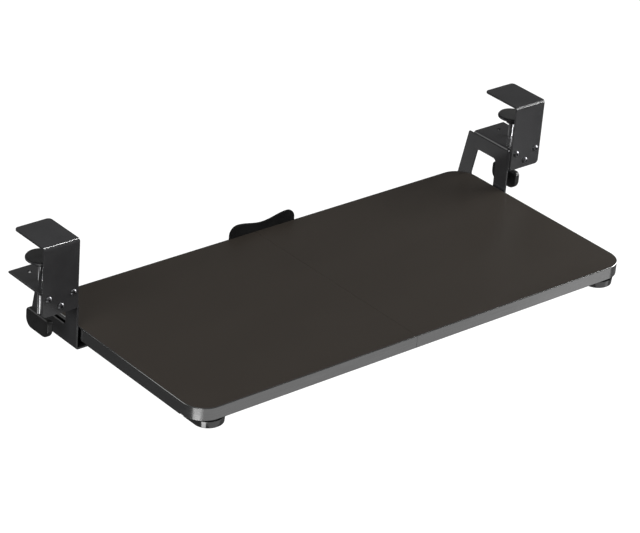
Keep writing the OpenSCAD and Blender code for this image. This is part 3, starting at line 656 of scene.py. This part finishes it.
# Each piece's finish, and the width of its eased edges in millimetres.
eased_pairs = {
    "bracket": ("powder_black", 0.3),
    "hook_nuts": ("zinc_plate", 0.35),
    "weld_nut": ("zinc_plate", 0.4),
    "roller_carrier": ("rail_steel", 0.2),
    "roller_axles": ("zinc_plate", 0.15),
    "front_roller": ("nylon", 0.3),
    "rear_roller": ("nylon", 0.3),
    "rail": ("rail_steel", 0.15),
    "rail_stops": ("nylon", 0.4),
    "retaining_ring": ("zinc_plate", 0.1),
    "foot": ("foot_plastic", 0.8),
}
eased_singles = {
    "front_splice_plate": ("powder_black", 0.3),
    "rear_splice_plate": ("powder_black", 0.3),
    "seam_dowels": ("dowel_wood", 0.6),
}
for side in SIDES:
    for part, (slot, width) in eased_pairs.items():
        draft = foot_draft if part == "foot" else 0.0
        eased_copy(f"{side}_{part}", slot, width * MM, draft)
for node, (slot, width) in eased_singles.items():
    eased_copy(node, slot, width * MM)

# %% [markdown]
# ## Back stop
# A low plate on the rear edge keeps things from sliding off. Its top edge dips between two lobes. A grid
# could be cut to that outline, but it is simpler to cut one long edge into short ones, lower their
# points along a cosine, and round the two upper corners.

# %% Back stop
stop_corner = 12 * MM
stop_dip = 5.5 * MM
stop_steps = 24
stop_ease = 0.6 * MM

low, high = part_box("back_stop")
lobe = high.x - stop_corner
stop, corners = flat_face([
    (low.x, low.y, low.z), (high.x, low.y, low.z), (high.x, low.y, high.z), (lobe, low.y, high.z),
    (-lobe, low.y, high.z), (low.x, low.y, high.z)])
crest = [e for e in stop.edges if set(e.verts) == {corners[3], corners[4]}]
bmesh.ops.subdivide_edges(stop, edges=crest, cuts=stop_steps - 1)
for vert in stop.verts:
    if near(vert.co.z, high.z) and abs(vert.co.x) < lobe:
        vert.co.z -= stop_dip * (1 + math.cos(math.pi * vert.co.x / lobe)) / 2
tips = [v for v in stop.verts if near(v.co.z, high.z) and near(abs(v.co.x), high.x)]
round_corners(stop, tips, stop_corner, steps=10)
thicken(stop, (0, high.y - low.y, 0))
ease(stop, sharp_edges(stop), stop_ease)
# The stop's darker coat is painted shade, standing for the desk's shadow over it.
add_piece("rear_stop_plate", stop, "powder_black", "back_stop", finish="painted_shade_black")

# %% [markdown]
# ## Socket screws
# A button head with a six-sided socket shows on every fastener. It is grown ring by ring: a hexagon is
# the socket's floor, its edges are pulled up to the rim, spread into a circle, and carried over the dome
# and down the shank. Spinning a profile would be quicker, but it can't leave a six-sided hole.

# %% One socket screw
ring_cuts = 3
socket_sides = 6
socket_share = 0.27
socket_depth = 0.6
dome_rings = 4
dome_start = math.radians(20)
dome_end = math.radians(82)


def grow_ring(bm, ring, height, radius=None):
    """Pulls a ring of edges to a height, and onto a circle if a radius is given."""
    made = bmesh.ops.extrude_edge_only(bm, edges=ring)
    for vert in verts_of(made):
        if radius is not None:
            flat = Vector((vert.co.x, vert.co.y, 0)).normalized() * radius
            vert.co.x, vert.co.y = flat.x, flat.y
        vert.co.z = height
    return [item for item in made["geom"] if isinstance(item, bmesh.types.BMEdge)]


def socket_screw(head_width, head_height, shank_width, length):
    """A screw along Z with its seat at zero and its shank below."""
    bm = bmesh.new()
    head = head_width / 2
    bmesh.ops.create_circle(
        bm, cap_ends=True, segments=socket_sides, radius=head_width * socket_share)
    bmesh.ops.translate(bm, vec=(0, 0, head_height * (1 - socket_depth)), verts=bm.verts)
    bmesh.ops.subdivide_edges(bm, edges=bm.edges[:], cuts=ring_cuts)
    ring = grow_ring(bm, [edge for edge in bm.edges if edge.is_boundary], head_height)
    for i in range(dome_rings + 1):
        turn = dome_start + (dome_end - dome_start) * i / dome_rings
        height = head_height * math.cos(turn) / math.cos(dome_start)
        ring = grow_ring(bm, ring, height, head * math.sin(turn))
    ring = grow_ring(bm, ring, 0, head)
    ring = grow_ring(bm, ring, 0, shank_width / 2)
    ring = grow_ring(bm, ring, -length, shank_width / 2)
    bmesh.ops.holes_fill(bm, edges=ring, sides=0)
    bmesh.ops.recalc_face_normals(bm, faces=bm.faces[:])
    return bm


print("a screw's dome has", dome_rings, "rings round a socket with", socket_sides, "sides")

# %% [markdown]
# The fixed model says where each screw sits. Its solids are separate islands of one mesh, so the islands
# are found by walking from vertex to vertex, and each island's box gives a screw its place, its head's
# width and its length.

# %% Where the screws sit
def islands(node):
    """The boxes of the separate solids in one fixed piece."""
    bm = merged_copy(node)
    seen = set()
    boxes = []
    for start in bm.verts:
        if start in seen:
            continue
        found = set()
        newest = {start}
        while newest:
            found |= newest
            newest = {edge.other_vert(v) for v in newest for edge in v.link_edges} - found
        seen |= found
        low = Vector([min(v.co[axis] for v in found) for axis in range(3)])
        high = Vector([max(v.co[axis] for v in found) for axis in range(3)])
        boxes.append((low, high))
    bm.free()
    return boxes


print("screws in one hook:", len(islands("left_hook_screws")))

# %% All screws
forwards = Vector((0, -1, 0))
backwards = Vector((0, 1, 0))
upwards = Vector((0, 0, 1))
downwards = Vector((0, 0, -1))


def add_screws(node, out, head_height, shank_width):
    """Socket screws in the place of a fixed group of screws, with their heads towards out."""
    group = bmesh.new()
    for low, high in islands(node):
        span = high - low
        long = abs(span.dot(out))
        width = min(size for size, along in zip(span, out) if along == 0)
        top = (low + high) / 2 + out * long / 2
        screw = socket_screw(width, head_height, shank_width, long - head_height)
        turn = out.to_track_quat("Z", "Y").to_matrix().to_4x4()
        seat = Matrix.Translation(top - out * head_height)
        bmesh.ops.transform(screw, matrix=seat @ turn, verts=screw.verts)
        loose = bpy.data.meshes.new("loose_screw")
        screw.to_mesh(loose)
        screw.free()
        group.from_mesh(loose)
        bpy.data.meshes.remove(loose)
    add_piece(f"{node}_socketed", group, "zinc_plate", node)


for side in SIDES:
    add_screws(f"{side}_hook_screws", forwards, head_height=2.5 * MM, shank_width=5 * MM)
    add_screws(f"{side}_carrier_screws", upwards, head_height=1.8 * MM, shank_width=4 * MM)
    add_screws(f"{side}_rail_screws", downwards, head_height=1.6 * MM, shank_width=3.5 * MM)
add_screws("splice_screws", downwards, head_height=1.6 * MM, shank_width=3.5 * MM)
add_screws("back_stop_screws", backwards, head_height=1.6 * MM, shank_width=3.5 * MM)
add_screws("foot_screws", downwards, head_height=2.4 * MM, shank_width=4 * MM)

# %% [markdown]
# ## Clamp screws
# A threaded rod pulls each clamp tight. The thread's profile is spun once round the axis while it climbs
# by the pitch, and that turn is copied upwards, so the turns join into one helix. A single long spin
# would do too, but it is slow. The raw ends are stepped, so a plane cuts each off square and the hole is
# filled. The smooth spigot on top turns in the pressure plate.

# %% Thread
pitch = 1.0 * MM
thread_depth = 0.55 * MM
thread_steps = 20
root_flat = 0.12
crest_half = 0.06
spare_turns = 3


def cut_square(bm, height, keep_above):
    """Cuts the rod at a height, drops one side and closes the end."""
    bmesh.ops.bisect_plane(
        bm, geom=bm.verts[:] + bm.edges[:] + bm.faces[:], plane_co=(0, 0, height), plane_no=(0, 0, 1),
        clear_inner=keep_above, clear_outer=not keep_above)
    open_edges = [edge for edge in bm.edges if edge.is_boundary]
    end = [edge for edge in open_edges if all(near(v.co.z, height) for v in edge.verts)]
    bmesh.ops.holes_fill(bm, edges=end, sides=0)


def threaded_rod(radius, bottom, top):
    """A rod along Z with a thread over its whole length, cut square at both ends."""
    root = radius - thread_depth
    start = bottom - spare_turns / 2 * pitch
    turns = int((top - bottom) / pitch) + spare_turns
    profile = [
        (root, 0), (root, root_flat), (radius, 0.5 - crest_half), (radius, 0.5 + crest_half),
        (root, 1 - root_flat), (root, 1)]
    bm = bmesh.new()
    verts = [bm.verts.new((reach, 0, start + climb * pitch)) for reach, climb in profile]
    edges = [bm.edges.new(pair) for pair in zip(verts, verts[1:])]
    bmesh.ops.spin(
        bm, geom=verts + edges, cent=(0, 0, 0), axis=(0, 0, 1), dvec=(0, 0, pitch / thread_steps),
        angle=math.tau, steps=thread_steps, use_merge=False)
    one_turn = bm.verts[:] + bm.edges[:] + bm.faces[:]
    for i in range(1, turns):
        made = bmesh.ops.duplicate(bm, geom=one_turn)
        bmesh.ops.translate(bm, vec=(0, 0, i * pitch), verts=verts_of(made))
    bmesh.ops.remove_doubles(bm, verts=bm.verts, dist=MERGE)
    cut_square(bm, bottom, keep_above=True)
    cut_square(bm, top, keep_above=False)
    bmesh.ops.recalc_face_normals(bm, faces=bm.faces[:])
    return bm


print("thread pitch", pitch / MM, "mm")

# %% Clamp rods
spigot_radius = 2.25 * MM
spigot_steps = 24
hub_gap = 0.05 * MM

for side in SIDES:
    low, high, centre = middle(f"{side}_clamp_screw")
    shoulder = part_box(f"{side}_pressure_plate")[0].z - hub_gap
    rod = threaded_rod((high.x - low.x) / 2, low.z, shoulder)
    spigot = bmesh.ops.create_cone(
        rod, cap_ends=True, segments=spigot_steps, radius1=spigot_radius, radius2=spigot_radius,
        depth=high.z - shoulder)["verts"]
    bmesh.ops.translate(rod, vec=(0, 0, (high.z + shoulder) / 2), verts=spigot)
    bmesh.ops.translate(rod, vec=(centre.x, centre.y, 0), verts=rod.verts)
    add_piece(f"{side}_clamp_rod", rod, "chrome_rod", f"{side}_clamp_screw")

# %% [markdown]
# ## Wing knobs
# A flat wing under each clamp is turned by hand. Its outline is a box with small upper corners and large
# lower ones, pulled to its thickness, and its rims are rounded broadly so that it is kind to fingers. A
# squashed cylinder would be quicker, but it has no flat top.

# %% Wing knobs
knob_shoulder = 5 * MM
knob_belly = 11.5 * MM
knob_round = 2.2 * MM

for side in SIDES:
    low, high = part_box(f"{side}_wing_knob")
    knob, corners = flat_face([
        (low.x, low.y, low.z), (low.x, high.y, low.z), (low.x, high.y, high.z), (low.x, low.y, high.z)])
    round_corners(knob, corners[:2], knob_belly, steps=14)
    upper = [v for v in knob.verts if near(v.co.z, high.z)]
    round_corners(knob, upper, knob_shoulder, steps=6)
    thicken(knob, (high.x - low.x, 0, 0))
    ease(knob, sharp_edges(knob), knob_round, steps=5)
    add_piece(f"{side}_knob", knob, "knob_plastic", f"{side}_wing_knob")

# %% [markdown]
# ## Round pieces
# Pressure plates and their pads are turned shapes. Half a section is drawn as a closed loop of edges and
# spun a full turn with its ends merged. The easing afterwards rounds the rims. A stack of cylinders would
# leave faces inside.

# %% Turning a section
turn_steps = 48


def turned(section, centre):
    """Spins a closed section of radius and height pairs round an upright axis."""
    bm = bmesh.new()
    verts = [bm.verts.new((radius, 0, height)) for radius, height in section]
    edges = [bm.edges.new(pair) for pair in zip(verts, verts[1:] + verts[:1])]
    bmesh.ops.spin(
        bm, geom=verts + edges, cent=(0, 0, 0), axis=(0, 0, 1), dvec=(0, 0, 0), angle=math.tau,
        steps=turn_steps, use_merge=True)
    bmesh.ops.remove_doubles(bm, verts=bm.verts, dist=MERGE)
    bmesh.ops.recalc_face_normals(bm, faces=bm.faces[:])
    bmesh.ops.translate(bm, vec=(centre.x, centre.y, 0), verts=bm.verts)
    return bm


print("a full turn takes", turn_steps, "steps")

# %% Pressure plates and pads
plate_thickness = 2.5 * MM
plate_ease = 0.5 * MM
hub_radius = 6.5 * MM
bore_radius = 2.3 * MM
pad_crown = 0.2 * MM
pad_flat = 0.8
pad_ease = 0.4 * MM

for side in SIDES:
    low, high, centre = middle(f"{side}_pressure_plate")
    rim = (high.x - low.x) / 2
    under = high.z - plate_thickness
    plate = turned([
        (bore_radius, low.z), (hub_radius, low.z), (hub_radius, under), (rim, under), (rim, high.z),
        (bore_radius, high.z)], centre)
    ease(plate, sharp_edges(plate), plate_ease)
    add_piece(f"{side}_press_disc", plate, "powder_black", f"{side}_pressure_plate")

    low, high, centre = middle(f"{side}_pressure_pad")
    rim = (high.x - low.x) / 2
    pad = turned([
        (0, low.z), (rim, low.z), (rim, high.z - pad_crown), (rim * pad_flat, high.z), (0, high.z)],
        centre)
    ease(pad, sharp_edges(pad), pad_ease)
    pad_piece = add_piece(f"{side}_press_pad", pad, "soft_pad", f"{side}_pressure_pad")

# %% [markdown]
# ## Top pads
# A thin rubber pad under each hook keeps the steel from scratching what it rests on. It is a flat outline
# with round corners, pulled to its thickness, and its rims are eased so that it looks soft. A rounded cube
# would do too, but its corners would be round in every direction.

# %% Top pads
top_pad_corner = 2.5 * MM
top_pad_ease = 0.3 * MM

for side in SIDES:
    low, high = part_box(f"{side}_top_pad")
    pad, corners = flat_face([
        (low.x, low.y, low.z), (high.x, low.y, low.z), (high.x, high.y, low.z), (low.x, high.y, low.z)])
    round_corners(pad, corners, top_pad_corner, steps=6)
    thicken(pad, (0, 0, high.z - low.z))
    ease(pad, sharp_edges(pad), top_pad_ease, steps=2)
    pad_piece = add_piece(f"{side}_hook_pad", pad, "soft_pad", f"{side}_top_pad")

# %% [markdown]
# ## Last update
# The view layer is updated once more, so every piece stands in its final place.

# %% Update the view layer
bpy.context.view_layer.update()
